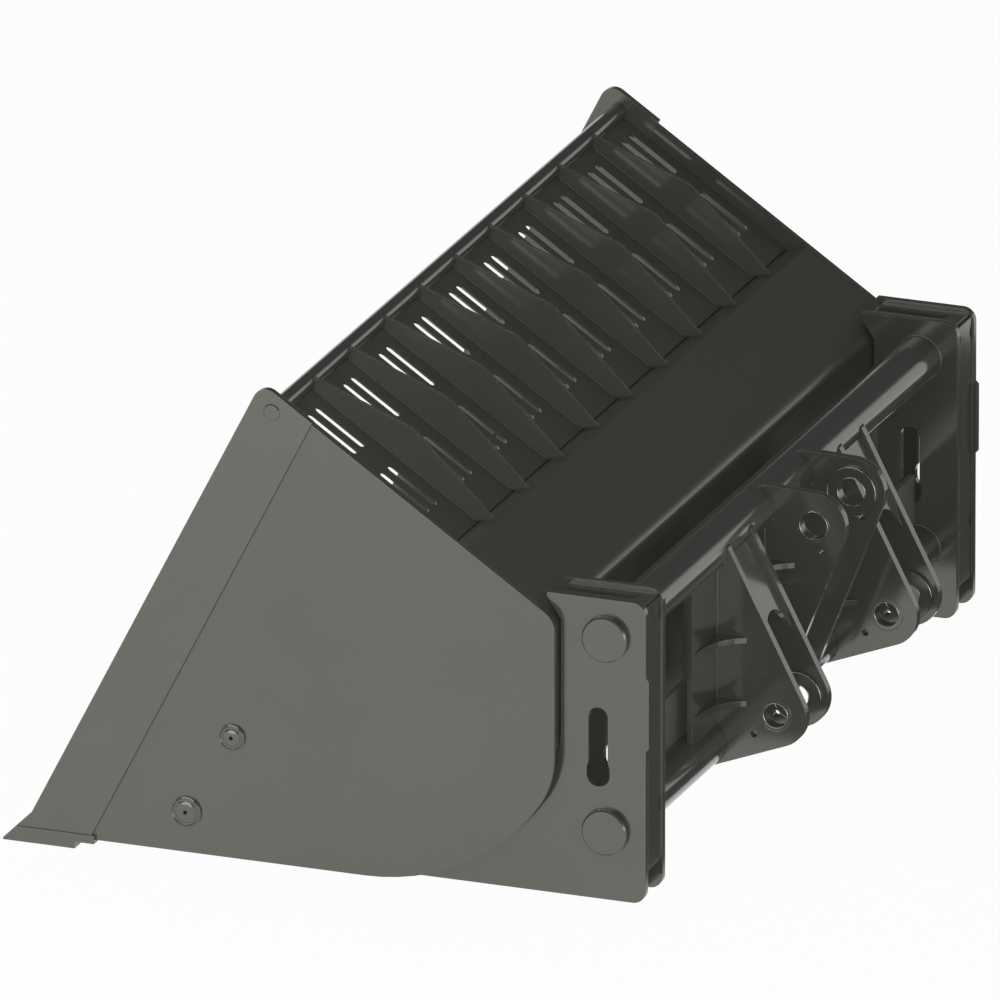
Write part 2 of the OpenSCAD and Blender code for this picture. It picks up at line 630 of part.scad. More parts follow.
// Sloped web between the two plates of a hook, with an arched lower edge
module hook_web(s) {
    rear_deg = belt_deg([hook_pin, hook_r], [tube_high, tube_r + 1]);
    top = tube_high + (tube_r + 1) * [cos(rear_deg), sin(rear_deg)];
    arch_r = hook_gap / 2 - web_leg;
    color(steel) side(s) difference() {
        translate([hook_in + ear_t, top[0], top[1]]) rotate([rear_deg - 90, 0, 0]) difference() {
            translate([0, 30, -15 - web_t]) cube([hook_gap, web_arch + arch_r - 30, web_t]);
            translate([hook_gap / 2, web_arch + arch_r, -4 * web_t]) cylinder(h = 4 * web_t, r = arch_r);
        }
        bar(tube_high, 0, hook_out, tube_r + weld_fit);
    }
}

// Upright plates outside an outer hook ear, and between an inner hook ear and a tilt ear
module ear_gusset(s) color(steel) side(s) for (x = [[hook_out, hook_out + gusset_w], [tilt_out, hook_in]])
    difference() {
        translate([x[0], gusset_y, tube_low_z]) cube([x[1] - x[0], gusset_t, tube_high_z - tube_low_z]);
        bar(tube_high, x[0] - 1, x[1] + 1, tube_r + weld_fit);
        bar(tube_low, x[0] - 1, x[1] + 1, tube_r + weld_fit);
    }

// Shield in front of the space between the cross tubes, low down beside the coupler
module shield_plate(s) color(steel) side(s) difference() {
    translate([hook_out, -shield_y - shield_t, tube_low_z])
        cube([plate_in - hook_out, shield_t, shield_top_z - tube_low_z]);
    bar(tube_low, hook_out - 1, plate_in + 1, tube_r + weld_fit);
}

// Level stiffener on an ear's face at x whose free edge sweeps along the gusset to one side
module ear_rib(x, turn, z) translate([x, gusset_y + gusset_t, z]) linear_extrude(ear_rib_t)
    polygon(concat([[0, 0]], bend([0, ear_rib_out], [turn * ear_rib_waist, 2 * ear_rib_toe],
        [turn * ear_rib_len, ear_rib_toe]), [[turn * ear_rib_len, 0]]));
module ear_ribs() color(steel) for (s = [1, -1]) side(s) {
    for (z = [ear_rib_low_z, ear_rib_high_z]) {
        ear_rib(hook_out, 1, z);
        ear_rib(hook_in, -1, z);
    }
    ear_rib(tilt_out, 1, tilt_rib_z);
}

// The cylinder is drawn along +Y from its base pin, then turned onto the line to the rod pin
cyl_len = norm(rod_pin - base_pin);
cyl_deg = atan2(rod_pin[1] - base_pin[1], rod_pin[0] - base_pin[0]);
gland_end = cyl_len - rod_show;
module cyl_line(s) side(s) translate([box_mid, base_pin[0], base_pin[1]]) rotate([cyl_deg, 0, 0]) children();
module lie() rotate([-90, 0, 0]) children();
module eye(w, d) rotate([0, 90, 0]) cylinder(h = w, d = d, center = true);

module cylinder_barrel(s) color(dark_steel) cyl_line(s) difference() {
    union() {
        eye(2 * box_in_half - 12, eye_d);
        lie() cylinder(h = gland_end - 36, d = barrel_d);
    }
    eye(2 * box_in_half, cyl_pin_d + 2 * run_fit);
    translate([0, 66, 0]) lie() cylinder(h = gland_end, d = bore_d);
}
module cylinder_gland(s) color(steel) cyl_line(s) translate([0, gland_end - 36, 0]) lie() difference() {
    union() {
        cylinder(h = 36, d = barrel_d + 6);
        translate([0, 0, -24]) cylinder(h = 24, d = bore_d - 2 * run_fit);
    }
    translate([0, 0, -30]) cylinder(h = 90, d = rod_d + 2 * run_fit);
}
module piston_rod(s) color([0.8, 0.8, 0.8]) cyl_line(s) lie() {
    translate([0, 0, 72]) cylinder(h = 50, d = bore_d - 2 * run_fit);
    translate([0, 0, 122]) cylinder(h = cyl_len - eye_d / 2 - 14 - 122, d = rod_d);
}
module rod_eye(s) color(steel) cyl_line(s) translate([0, cyl_len, 0]) difference() {
    union() {
        eye(eye_w, eye_d);
        translate([0, -eye_d / 2 - 14, 0]) lie() cylinder(h = eye_d / 2, d = rod_d + 14);
    }
    eye(2 * eye_w, cyl_pin_d + 2 * weld_fit);
}
module rod_pin_mid(s) color(pin_steel) side(s)
    bar(rod_pin, plate_in + plate_t + 0.3, plate_out - plate_t - 0.3, cyl_pin_d / 2);

side_plate(1);  // side_plate_left
side_plate(-1);  // side_plate_right
side_cutter(1);  // side_cutter_left
side_cutter(-1);  // side_cutter_right
cutting_edge();
bowl_shell();
tunnel_wall(1);  // tunnel_wall_left
tunnel_wall(-1);  // tunnel_wall_right
tunnel_cover(1);  // tunnel_cover_left
tunnel_cover(-1);  // tunnel_cover_right
spill_guard();
guard_ribs();
rim_tube();
hinge_pin(1);  // hinge_pin_left
hinge_pin(-1);  // hinge_pin_right
hinge_collars();
rod_pin_bosses();
pin_caps();
frame_plate_outer(1);  // frame_plate_outer_left
frame_plate_outer(-1);  // frame_plate_outer_right
frame_plate_inner(1);  // frame_plate_inner_left
frame_plate_inner(-1);  // frame_plate_inner_right
arm_floor(1);  // arm_floor_left
arm_floor(-1);  // arm_floor_right
box_rear_wall(1);  // box_rear_wall_left
box_rear_wall(-1);  // box_rear_wall_right
box_front_wall(1);  // box_front_wall_left
box_front_wall(-1);  // box_front_wall_right
box_top_cap(1);  // box_top_cap_left
box_top_cap(-1);  // box_top_cap_right
hinge_bushes();
base_pins();
cross_tube_upper();
cross_tube_lower();
tube_end_caps();
hook_ear(1, hook_out - ear_t);  // hook_ear_outer_left
hook_ear(1, hook_in);  // hook_ear_inner_left
hook_ear(-1, hook_in);  // hook_ear_inner_right
hook_ear(-1, hook_out - ear_t);  // hook_ear_outer_right
tilt_ear(1);  // tilt_ear_left
tilt_ear(-1);  // tilt_ear_right
hook_bushes();
tilt_bushes();
hook_web(1);  // hook_web_left
hook_web(-1);  // hook_web_right
ear_gusset(1);  // ear_gusset_left
ear_gusset(-1);  // ear_gusset_right
ear_ribs();
shield_plate(1);  // shield_plate_left
shield_plate(-1);  // shield_plate_right
cylinder_barrel(1);  // cylinder_barrel_left
cylinder_barrel(-1);  // cylinder_barrel_right
cylinder_gland(1);  // cylinder_gland_left
cylinder_gland(-1);  // cylinder_gland_right
piston_rod(1);  // piston_rod_left
piston_rod(-1);  // piston_rod_right
rod_eye(1);  // rod_eye_left
rod_eye(-1);  // rod_eye_right
rod_pin_mid(1);  // rod_pin_left
rod_pin_mid(-1);  // rod_pin_right
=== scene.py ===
"""Looks of a high dump bucket: paint, bare steel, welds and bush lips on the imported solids.

Every size is in metres, in the frame of the solids: +X to the left of the loader, +Y to its
coupler, +Z up. The script dresses each solid, adds the pieces that are too small for the
solids, and sets up a plain studio.
"""

from __future__ import annotations

import json
import logging
import math
from dataclasses import dataclass, field
from enum import Enum
from typing import Iterable, Sequence

import bmesh
import bpy
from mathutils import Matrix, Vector

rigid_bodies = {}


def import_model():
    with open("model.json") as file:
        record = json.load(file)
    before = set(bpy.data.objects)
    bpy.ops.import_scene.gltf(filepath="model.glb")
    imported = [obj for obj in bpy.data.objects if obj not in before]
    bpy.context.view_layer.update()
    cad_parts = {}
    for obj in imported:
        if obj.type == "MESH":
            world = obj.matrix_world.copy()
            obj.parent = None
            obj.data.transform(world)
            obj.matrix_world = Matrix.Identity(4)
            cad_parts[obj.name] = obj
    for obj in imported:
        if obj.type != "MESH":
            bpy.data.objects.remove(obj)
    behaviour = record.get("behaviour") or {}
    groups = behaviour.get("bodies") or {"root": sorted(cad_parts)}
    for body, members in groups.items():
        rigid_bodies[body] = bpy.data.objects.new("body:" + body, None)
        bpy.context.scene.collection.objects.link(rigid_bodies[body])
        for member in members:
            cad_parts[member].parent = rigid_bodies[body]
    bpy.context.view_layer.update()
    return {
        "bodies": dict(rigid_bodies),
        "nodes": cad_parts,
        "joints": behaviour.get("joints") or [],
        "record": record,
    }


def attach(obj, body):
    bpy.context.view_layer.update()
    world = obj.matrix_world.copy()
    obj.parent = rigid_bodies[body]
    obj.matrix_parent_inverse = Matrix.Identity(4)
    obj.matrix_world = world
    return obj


LOG = logging.getLogger("high_dump_bucket")
Point = tuple[float, float]
Colour = tuple[float, float, float]
Ring = list[bmesh.types.BMVert]
TUBE_AXIS_Y = 0.7365
"""Distance of the cross tubes' axis behind the middle of the part."""
TUBE_HEIGHTS: Point = (0.806, 0.238)
"""Heights of the upper and the lower cross tube's axis."""
TUBE_BEAD_RADIUS = 0.0675
"""Distance of a bead's root from a cross tube's axis, 1 mm outside the tube."""
UNDER_FLOOR = 0.001
"""How far the studio floor lies under the part's lowest face."""


class Body(Enum):
    """The rigid bodies that the added pieces ride on."""

    FRAME = "carrier_frame"
    BOWL = "bowl"


class Slot(Enum):
    """Names of two of the record's material slots; nothing in the script uses them."""

    PAINT = "painted_plate"
    PIN = "pin_steel"


def srgb(red: int, green: int, blue: int) -> Colour:
    """Linear colour of an 8 bit screen colour.

    Args:
        red: red share, 0 to 255.
        green: green share, 0 to 255.
        blue: blue share, 0 to 255.

    Returns:
        The linear red, green and blue shares.
    """

    def linear(value: int) -> float:
        """Linear value of one 8 bit share.

        Args:
            value: the share, 0 to 255.

        Returns:
            The linear value, 0 to 1.
        """
        share = value / 255
        return share / 12.92 if share <= 0.04045 else ((share + 0.055) / 1.055) ** 2.4

    return linear(red), linear(green), linear(blue)


@dataclass
class Effects:
    """Shader node groups that several finishes share.

    cloud_spread, edge_spread and edge_break_spread are the values that a group stretches to 0 and 1:
    of the paint's patches, of the likeness of two normals, and of the breaks in the edge colour,
    which is worn paint on painted finishes and a painted highlight on turned steel.
    """

    cloud_detail: float = 6.0
    cloud_roughness: float = 0.62
    cloud_spread: Point = (0.32, 0.68)
    peel_detail: float = 2.0
    turning_distortion: float = 0.6
    edge_samples: int = 4
    edge_spread: Point = (0.995, 0.86)
    edge_break_detail: float = 4.0
    edge_break_spread: Point = (0.42, 0.62)
    cloud: bpy.types.NodeTree = field(init=False)
    relief: bpy.types.NodeTree = field(init=False)
    edge: bpy.types.NodeTree = field(init=False)

    def __post_init__(self) -> None:
        """Builds every group once."""
        self.cloud = self._cloud()
        self.relief = self._relief()
        self.edge = self._edge()

    @staticmethod
    def _group(name: str, inputs: dict[str, float], outputs: Sequence[str]) -> bpy.types.NodeTree:
        """New group with float sockets.

        Args:
            name: name of the group.
            inputs: socket names with their first values.
            outputs: socket names.

        Returns:
            The node group, with its input and output nodes.
        """
        tree = bpy.data.node_groups.new(name, "ShaderNodeTree")
        for label, value in inputs.items():
            socket = tree.interface.new_socket(label, in_out="INPUT", socket_type="NodeSocketFloat")
            socket.default_value = value
        for label in outputs:
            tree.interface.new_socket(label, in_out="OUTPUT", socket_type="NodeSocketFloat")
        tree.nodes.new("NodeGroupInput").name = "in"
        tree.nodes.new("NodeGroupOutput").name = "out"
        return tree

    @staticmethod
    def _spread(nodes: bpy.types.Nodes, ends: Point) -> bpy.types.Node:
        """New node that stretches a range of values to 0 and 1.

        Args:
            nodes: the group's nodes.
            ends: the values that become 0 and 1.

        Returns:
            The map range node.
        """
        spread = nodes.new("ShaderNodeMapRange")
        for label, value in zip(("From Min", "From Max"), ends):
            spread.inputs[label].default_value = value
        return spread

    def _cloud(self) -> bpy.types.NodeTree:
        """Builds slow, soft patches of paint thickness.

        Returns:
            The group, whose mask runs from 0 to 1.
        """
        tree = self._group("paint_cloud", {"Scale": 3.0, "Stretch": 1.0}, ["Mask"])
        nodes, links = tree.nodes, tree.links
        place = nodes.new("ShaderNodeTexCoord")
        squeeze = nodes.new("ShaderNodeVectorMath")
        squeeze.operation = "MULTIPLY"
        stretch = nodes.new("ShaderNodeCombineXYZ")
        noise = nodes.new("ShaderNodeTexNoise")
        noise.inputs["Detail"].default_value = self.cloud_detail
        noise.inputs["Roughness"].default_value = self.cloud_roughness
        spread = self._spread(nodes, self.cloud_spread)
        stretch.inputs["X"].default_value = 1.0
        stretch.inputs["Y"].default_value = 1.0
        links.new(nodes["in"].outputs["Stretch"], stretch.inputs["Z"])
        links.new(place.outputs["Object"], squeeze.inputs[0])
        links.new(stretch.outputs["Vector"], squeeze.inputs[1])
        links.new(squeeze.outputs["Vector"], noise.inputs["Vector"])
        links.new(nodes["in"].outputs["Scale"], noise.inputs["Scale"])
        links.new(noise.outputs["Fac"], spread.inputs["Value"])
        links.new(spread.outputs["Result"], nodes["out"].inputs["Mask"])
        return tree

    def _relief(self) -> bpy.types.NodeTree:
        """Builds the orange peel of sprayed paint and the turning marks of bare steel.

        Returns:
            The group, whose height runs from 0 to 1.
        """
        tree = self._group("fine_relief", {"Scale": 400.0, "Lines": 0.0}, ["Height"])
        nodes, links = tree.nodes, tree.links
        place = nodes.new("ShaderNodeTexCoord")
        noise = nodes.new("ShaderNodeTexNoise")
        noise.inputs["Detail"].default_value = self.peel_detail
        wave = nodes.new("ShaderNodeTexWave")
        wave.bands_direction = "X"
        wave.inputs["Distortion"].default_value = self.turning_distortion
        blend = nodes.new("ShaderNodeMix")
        blend.data_type = "FLOAT"
        for texture in (noise, wave):
            links.new(place.outputs["Object"], texture.inputs["Vector"])
            links.new(nodes["in"].outputs["Scale"], texture.inputs["Scale"])
        links.new(nodes["in"].outputs["Lines"], blend.inputs[VALUES.share])
        links.new(noise.outputs["Fac"], blend.inputs[VALUES.first])
        links.new(wave.outputs["Fac"], blend.inputs[VALUES.second])
        links.new(blend.outputs[VALUES.result], nodes["out"].inputs["Height"])
        return tree

    def _edge(self) -> bpy.types.NodeTree:
        """Builds the softened normal of a broken edge, and the mask of its edge colour: worn paint on
        painted finishes, a painted highlight on turned steel.

        Returns:
            The group, with the normal and the share of the edge colour from 0 to 1.
        """
        tree = self._group("broken_edge", {"Width": 0.003, "Breaks": 30.0}, ["Mask"])
        tree.interface.new_socket("Normal", in_out="OUTPUT", socket_type="NodeSocketVector")
        nodes, links = tree.nodes, tree.links
        shape = nodes.new("ShaderNodeNewGeometry")
        rounded = nodes.new("ShaderNodeBevel")
        rounded.samples = self.edge_samples
        alike = nodes.new("ShaderNodeVectorMath")
        alike.operation = "DOT_PRODUCT"
        turned = self._spread(nodes, self.edge_spread)
        place = nodes.new("ShaderNodeTexCoord")
        noise = nodes.new("ShaderNodeTexNoise")
        noise.inputs["Detail"].default_value = self.edge_break_detail
        broken = self._spread(nodes, self.edge_break_spread)
        both = nodes.new("ShaderNodeMath")
        both.operation = "MULTIPLY"
        links.new(nodes["in"].outputs["Width"], rounded.inputs["Radius"])
        links.new(rounded.outputs["Normal"], alike.inputs[0])
        links.new(shape.outputs["True Normal"], alike.inputs[1])
        links.new(alike.outputs["Value"], turned.inputs["Value"])
        links.new(place.outputs["Object"], noise.inputs["Vector"])
        links.new(nodes["in"].outputs["Breaks"], noise.inputs["Scale"])
        links.new(noise.outputs["Fac"], broken.inputs["Value"])
        links.new(turned.outputs["Result"], both.inputs[0])
        links.new(broken.outputs["Result"], both.inputs[1])
        links.new(both.outputs["Value"], nodes["out"].inputs["Mask"])
        links.new(rounded.outputs["Normal"], nodes["out"].inputs["Normal"])
        return tree


@dataclass(frozen=True)
class MixSockets:
    """Places of a mix node's sockets, which share their names between data types."""

    first: int
    second: int
    result: int
    share: int = 0


VALUES = MixSockets(first=2, second=3, result=0)
COLOURS = MixSockets(first=6, second=7, result=2)


@dataclass(frozen=True)
class Finish:
    """One surface finish: its tone where the coat is thick, and its deep tone where it is thin.

    The edge values say how wide a broken edge is and how much of the edge tone shows on it: worn
    paint on painted finishes, a painted highlight on turned steel. The relief values say how fine
    the peel or the turning marks are, and how deep.
    """

    name: str
    tone: Colour
    deep_tone: Colour
    roughness: float
    deep_roughness: float
    metallic: float = 0.55
    specular: float = 0.5
    coat: float = 0.0
    cloud_scale: float = 1.8
    cloud_stretch: float = 1.0
    relief_scale: float = 420.0
    relief_lines: float = 0.0
    relief_depth: float = 0.0002
    relief_strength: float = 0.06
    edge_tone: Colour = (0.24, 0.235, 0.225)
    edge_width: float = 0.0022
    edge_share: float = 0.30

    def material(self, effects: Effects) -> bpy.types.Material:
        """Builds the finish as a node material.

        Args:
            effects: the shared node groups.

        Returns:
            The new material.
        """
        made = bpy.data.materials.new(self.name)
        made.use_nodes = True
        made.diffuse_color = (*self.tone, 1.0)
        nodes, links = made.node_tree.nodes, made.node_tree.links
        shader = nodes["Principled BSDF"]
        shader.inputs["Metallic"].default_value = self.metallic
        shader.inputs["Specular IOR Level"].default_value = self.specular
        shader.inputs["Coat Weight"].default_value = self.coat
        cloud = self._effect(nodes, effects.cloud, Scale=self.cloud_scale, Stretch=self.cloud_stretch)
        edge = self._effect(nodes, effects.edge, Width=self.edge_width)
        relief = self._effect(nodes, effects.relief, Scale=self.relief_scale, Lines=self.relief_lines)
        paint = self._mix(nodes, "RGBA")
        paint.inputs[COLOURS.first].default_value = (*self.deep_tone, 1.0)
        paint.inputs[COLOURS.second].default_value = (*self.tone, 1.0)
        # Edge colour: worn paint on painted finishes, a painted highlight on turned steel.
        edge_wear_and_highlight = self._mix(nodes, "RGBA")
        edge_wear_and_highlight.inputs[COLOURS.second].default_value = (*self.edge_tone, 1.0)
        share = nodes.new("ShaderNodeMath")
        share.operation = "MULTIPLY"
        share.inputs[1].default_value = self.edge_share
        gloss = self._mix(nodes, "FLOAT")
        gloss.inputs[VALUES.first].default_value = self.deep_roughness
        gloss.inputs[VALUES.second].default_value = self.roughness
        bump = nodes.new("ShaderNodeBump")
        bump.inputs["Strength"].default_value = self.relief_strength
        bump.inputs["Distance"].default_value = self.relief_depth
        links.new(cloud.outputs["Mask"], paint.inputs[COLOURS.share])
        links.new(cloud.outputs["Mask"], gloss.inputs[VALUES.share])
        links.new(edge.outputs["Mask"], share.inputs[0])
        links.new(share.outputs["Value"], edge_wear_and_highlight.inputs[COLOURS.share])
        links.new(paint.outputs[COLOURS.result], edge_wear_and_highlight.inputs[COLOURS.first])
        links.new(edge_wear_and_highlight.outputs[COLOURS.result], shader.inputs["Base Color"])
        links.new(gloss.outputs[VALUES.result], shader.inputs["Roughness"])
        links.new(relief.outputs["Height"], bump.inputs["Height"])
        links.new(edge.outputs["Normal"], bump.inputs["Normal"])
        links.new(bump.outputs["Normal"], shader.inputs["Normal"])
        return made

    @staticmethod
    def _effect(nodes: bpy.types.Nodes, tree: bpy.types.NodeTree, **values: float) -> bpy.types.Node:
        """Places a shared group with this finish's own values.

        Args:
            nodes: the material's nodes.
            tree: the shared group.
            values: a value for each named input.

        Returns:
            The group node.
        """
        placed = nodes.new("ShaderNodeGroup")
        placed.node_tree = tree
        for label, value in values.items():
            placed.inputs[label].default_value = value
        return placed

    @staticmethod
    def _mix(nodes: bpy.types.Nodes, data_type: str) -> bpy.types.Node:
        """New mix node of a data type.

        Args:
            nodes: the material's nodes.
            data_type: what it mixes, RGBA or FLOAT.

        Returns:
            The mix node.
        """
        node = nodes.new("ShaderNodeMix")
        node.data_type = data_type
        return node


PLATE_PAINT = Finish("plate_paint", (0.156, 0.153, 0.135), (0.147, 0.144, 0.127), 0.11, 0.16)
WEAR_PAINT = Finish("wear_strip_paint", (0.160, 0.157, 0.139), (0.146, 0.143, 0.126), 0.18, 0.25,
                    edge_share=0.5)
SHELL_PAINT = Finish("bowl_sheet_paint", (0.154, 0.151, 0.133), (0.145, 0.142, 0.125), 0.20, 0.26)
GUARD_PAINT = Finish("guard_paint", (0.158, 0.155, 0.137), (0.148, 0.145, 0.128), 0.17, 0.23)
TUBE_PAINT = Finish("tube_paint", (0.160, 0.160, 0.148), (0.151, 0.151, 0.140), 0.10, 0.15,
                    cloud_stretch=3.0)
# Turned steel: its light edge tone is a painted highlight along the edges of pins and bushes.
PIN_STEEL = Finish("turned_steel", (0.176, 0.173, 0.156), (0.161, 0.158, 0.142), 0.16, 0.24,
                   metallic=0.65, relief_scale=900.0, relief_lines=0.7,
                   edge_tone=(0.45, 0.44, 0.42), edge_width=0.004, edge_share=0.7)
# Shield plates: a lighter copy of the plate paint, as painted light that lifts them in their shaded
# pocket between the ears and the boxes; the real plates wear the same paint as the others.
SHIELD_PAINTED_LIGHT = Finish("shield_painted_light", (0.225, 0.221, 0.198), (0.205, 0.201, 0.180), 0.24, 0.32,
                      metallic=0.3)
POLISHED_LIP = Finish("polished_lip", (0.66, 0.65, 0.62), (0.56, 0.55, 0.52), 0.14, 0.24,
                      metallic=1.0, relief_scale=1200.0, edge_share=0.0)
ROD_CHROME = Finish("hard_chrome", (0.78, 0.78, 0.79), (0.72, 0.72, 0.73), 0.10, 0.16,
                    metallic=1.0, relief_scale=1400.0, relief_lines=1.0, relief_strength=0.03,
                    edge_share=0.0)
CYLINDER_PAINT = Finish("cylinder_paint", srgb(62, 61, 58), srgb(54, 53, 50), 0.34, 0.42,
                        metallic=0.2, coat=0.2)
WELD_METAL = Finish("painted_weld", (0.156, 0.153, 0.135), (0.138, 0.135, 0.119), 0.26, 0.36,
                    relief_strength=0.2)


@dataclass
class Workshop:
    """Dresses the solids and turns meshes into pieces.

    join_distance is the widest gap between corners that a softened sheet joins, and crease the
    angle from which its edges stay sharp.
    """

    frame: dict
    effects: Effects
    materials: dict[str, bpy.types.Material] = field(default_factory=dict)
    join_distance: float = 0.00001
    crease: float = math.radians(20)

    def paint(self, finish: Finish) -> bpy.types.Material:
        """Material of a finish, made once.

        Args:
            finish: the finish.

        Returns:
            Its material.
        """
        if finish.name not in self.materials:
            self.materials[finish.name] = finish.material(self.effects)
        return self.materials[finish.name]

    def dress(self, names: Iterable[str], finish: Finish) -> None:
        """Gives solids a finish.

        Args:
            names: the solids' names.
            finish: their finish.
        """
        for name in names:
            solid = self.frame["nodes"][name]
            solid.data.materials.clear()
            solid.data.materials.append(self.paint(finish))
            LOG.info("dressed %s in %s", name, finish.name)

    def soften(self, name: str) -> None:
        """Shades a rolled sheet as one curve, by a modifier: the solid's own mesh stays as it is.

        Args:
            name: the solid's name.
        """
        tree = bpy.data.node_groups.new("even_bends", "GeometryNodeTree")
        for way in ("INPUT", "OUTPUT"):
            tree.interface.new_socket("Geometry", in_out=way, socket_type="NodeSocketGeometry")
        start, plain, join, angle, sharp, smooth, part, end = (tree.nodes.new(kind) for kind in (
            "NodeGroupInput", "GeometryNodeRemoveAttribute", "GeometryNodeMergeByDistance",
            "GeometryNodeInputMeshEdgeAngle", "FunctionNodeCompare", "GeometryNodeSetShadeSmooth",
            "GeometryNodeSplitEdges", "NodeGroupOutput"))
        plain.inputs["Name"].default_value = "custom_normal"
        join.inputs["Distance"].default_value = self.join_distance
        sharp.inputs["B"].default_value = self.crease
        tree.links.new(angle.outputs["Unsigned Angle"], sharp.inputs["A"])
        tree.links.new(sharp.outputs["Result"], part.inputs["Selection"])
        for left, right in zip((start, plain, join, smooth, part), (plain, join, smooth, part, end)):
            tree.links.new(left.outputs[0], right.inputs[0])
        self.frame["nodes"][name].modifiers.new("even_bends", "NODES").node_group = tree

    def piece(self, name: str, mesh: bmesh.types.BMesh, finish: Finish, body: Body) -> bpy.types.Object:
        """Turns a mesh into a piece that rides on a body.

        Args:
            name: name of the piece.
            mesh: its mesh, which is used up.
            finish: its finish.
            body: the body it rides on.

        Returns:
            The new object.
        """
        data = bpy.data.meshes.new(name)
        bmesh.ops.recalc_face_normals(mesh, faces=mesh.faces)
        mesh.to_mesh(data)
        mesh.free()
        for face in data.polygons:
            face.use_smooth = True
        data.materials.append(self.paint(finish))
        made = bpy.data.objects.new(name, data)
        bpy.context.scene.collection.objects.link(made)
        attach(made, body.value)
        LOG.info("built %s with %d faces", name, len(data.polygons))
        return made


def at(y: float, z: float, x: float) -> Vector:
    """Point whose depth is counted from the cross tubes' axis.

    Args:
        y: distance behind the cross tubes' axis.
        z: height.
        x: distance to the left of the middle.

    Returns:
        The point in the frame of the solids.
    """
    return Vector((x, y + TUBE_AXIS_Y, z))


def join_rings(mesh: bmesh.types.BMesh, rings: Sequence[Ring], closed: bool) -> None:
    """Spans faces between rings of as many corners each.

    Args:
        mesh: the mesh they are in.
        rings: the rings, one after the other.
        closed: whether the last ring meets the first; if not, both ends get a lid.
    """
    pairs = list(zip(rings, rings[1:])) + ([(rings[-1], rings[0])] if closed else [])
    for ring, following in pairs:
        for k in range(len(ring)):
            after = (k + 1) % len(ring)
            mesh.faces.new((ring[k], ring[after], following[after], following[k]))
    if not closed:
        mesh.faces.new(rings[0])
        mesh.faces.new(reversed(rings[-1]))


def add_bead(mesh: bmesh.types.BMesh, path: Sequence[Vector], width: float,
             closed: bool = False) -> None:
    """Adds a rippled weld bead along a path.

    Args:
        mesh: the mesh it is added to.
        path: points along the bead's root.
        width: the bead's width.
        closed: whether the path ends where it starts.
    """
    sides = 8
    ripple = 0.010
    fewest_steps = 6
    least_length = 1e-9
    upright = 0.9
    tapered, crest, trough = 0.45, 1.10, 0.92
    lengths = [0.0]
    points = list(path) + ([path[0]] if closed else [])
    for first, second in zip(points, points[1:]):
        lengths.append(lengths[-1] + (second - first).length)
    total = lengths[-1]
    count = max(fewest_steps, int(total / ripple * 2))
    rings: list[Ring] = []
    leg = 0
    for step in range(count if closed else count + 1):
        place = total * step / count
        while leg < len(points) - 2 and lengths[leg + 1] < place:
            leg += 1
        along = points[leg + 1] - points[leg]
        centre = points[leg] + along * ((place - lengths[leg]) / max(along.length, least_length))
        along.normalize()
        aside = Vector((0, 0, 1)) if abs(along.z) < upright else Vector((1, 0, 0))
        across = along.cross(aside).normalized()
        up = across.cross(along)
        end = 1.0 if closed or 0 < step < count else tapered
        radius = width / 2 * end * (crest if step % 2 else trough)
        rings.append([mesh.verts.new(centre + radius * (across * math.cos(turn) + up * math.sin(turn)))
                      for turn in (math.tau * k / sides for k in range(sides))])
    join_rings(mesh, rings, closed)


def add_lip(mesh: bmesh.types.BMesh, centre: Vector, radius: float, thickness: float) -> None:
    """Adds a round lip that runs in a circle about an axis along X.

    Args:
        mesh: the mesh it is added to.
        centre: the circle's centre.
        radius: the circle's radius.
        thickness: the lip's thickness.
    """
    around, sides = 72, 8
    rings: list[Ring] = []
    for step in range(around):
        turn = math.tau * step / around
        out = Vector((0, math.cos(turn), math.sin(turn)))
        rings.append([mesh.verts.new(centre + out * (radius + thickness / 2 * math.cos(lean))
                                     + Vector((thickness / 2 * math.sin(lean), 0, 0)))
                      for lean in (math.tau * k / sides for k in range(sides))])
    join_rings(mesh, rings, closed=True)


def arc(centre: Vector, radius: float, angles: Iterable[int]) -> list[Vector]:
    """Points of a circle in a plane across X.

    Args:
        centre: the circle's centre.
        radius: the circle's radius.
        angles: the points' angles from +Y towards +Z, in degrees.

    Returns:
        One point for each angle.
    """
    turns = [math.radians(angle) for angle in angles]
    return [centre + radius * Vector((0, math.cos(turn), math.sin(turn))) for turn in turns]


@dataclass
class Bowl:
    """The bowl: side plates, wear strips, cutting edge, bent sheet and tunnels."""

    plate_inside: float = 1.348
    tunnel_inside: float = 1.138
    tunnel_plate: float = 0.013
    tunnel_foot: Point = (-1.418, 0.047)
    tunnel_bend: Point = (-1.246, 0.482)
    tunnel_end: Point = (-0.160, 0.482)
    edge_rear: Point = (-1.504, 0.045)
    edge_inset: float = 0.01
    weld: float = 0.007
    slope: float = math.radians(33.9)
    rear_corner: Point = (-0.138, 0.854)

    def dress(self, shop: Workshop) -> None:
        """Gives the bowl's solids their finishes, and softens the bent sheet."""
        shop.dress(["side_plate_left", "side_plate_right"], PLATE_PAINT)
        shop.dress(["side_cutter_left", "side_cutter_right", "cutting_edge"], WEAR_PAINT)
        shop.dress(["bowl_shell"], SHELL_PAINT)
        shop.soften("bowl_shell")
        shop.dress(["tunnel_wall_left", "tunnel_wall_right", "tunnel_cover_left", "tunnel_cover_right"],
                   SHELL_PAINT)

    def build(self, shop: Workshop) -> None:
        """Welds the tunnels and the cutting edge inside the bowl."""
        mesh = bmesh.new()
        for side in (1, -1):
            for x in (self.tunnel_inside - self.tunnel_plate, self.plate_inside):
                add_bead(mesh, [at(*self.tunnel_foot, side * x), at(*self.tunnel_bend, side * x),
                                at(*self.tunnel_end, side * x)], self.weld)
        reach = self.plate_inside - self.edge_inset
        add_bead(mesh, [at(*self.edge_rear, -reach), at(*self.edge_rear, reach)], self.weld)
        shop.piece("bowl_welds", mesh, WELD_METAL, Body.BOWL)


